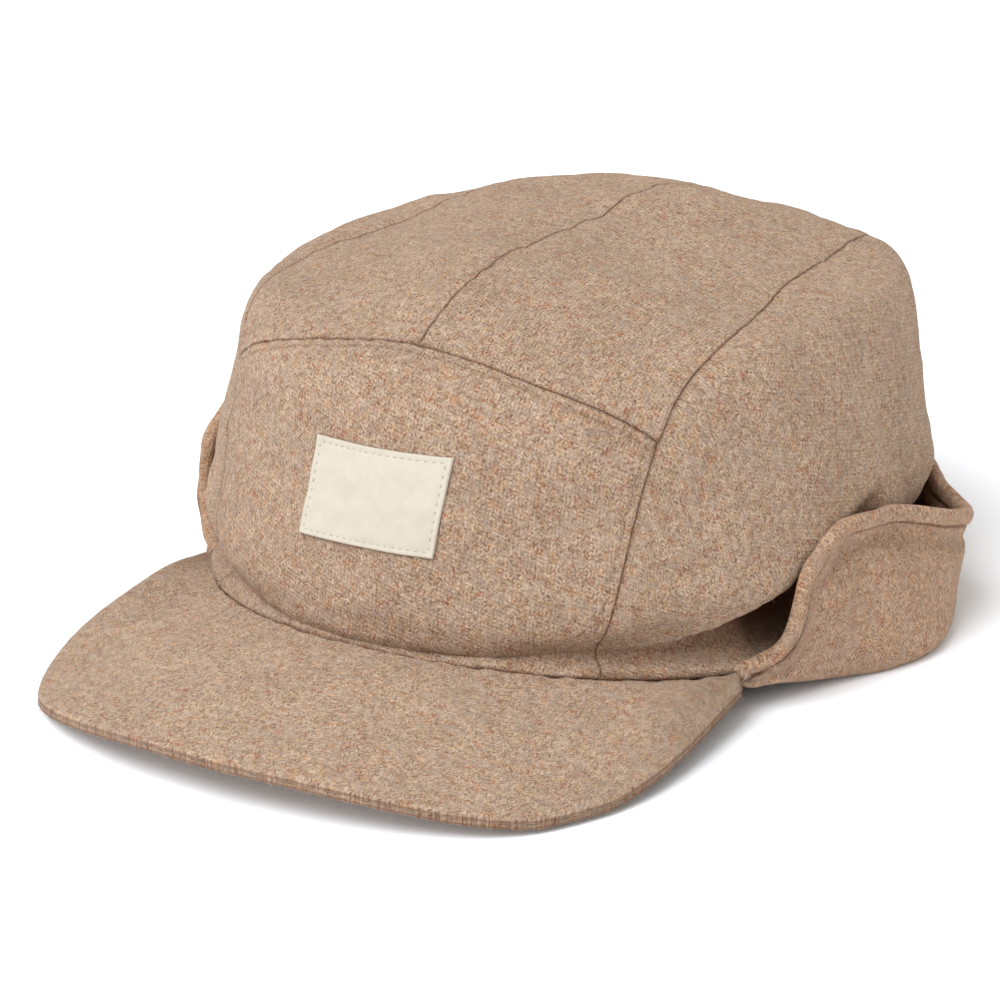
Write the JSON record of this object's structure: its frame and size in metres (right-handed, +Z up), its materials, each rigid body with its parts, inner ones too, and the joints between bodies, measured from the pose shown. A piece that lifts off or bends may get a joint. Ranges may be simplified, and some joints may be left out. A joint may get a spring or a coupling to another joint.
{
  "type": "five-panel cap with a folded ear flap",
  "caption": "Soft wool cap with a front panel, two top and two side panels, a curved peak, an ear flap folded up outside the crown and a small bare label.",
  "frame": {"origin": "on the surface the cap stands on, under the middle of its width and length", "axes": "+Z up, the peak points to -Y, and +X is the wearer's left side"},
  "size_m": [0.2148, 0.2742, 0.1063],
  "materials": {
    "crown_cloth": "matte heathered wool",
    "peak_cloth": "matte heathered wool",
    "under_peak_cloth": "matte heathered wool",
    "flap_cloth": "matte heathered wool",
    "label_cloth": "matte woven cotton"
  },
  "bodies": {
    "root": {"front_panel": "crown_cloth", "top_panel_left": "crown_cloth", "top_panel_right": "crown_cloth", "side_panel_left": "crown_cloth", "side_panel_right": "crown_cloth", "peak_top": "peak_cloth", "peak_under": "under_peak_cloth", "ear_flap": "flap_cloth", "front_label": "label_cloth"}
  },
  "joints": []
}
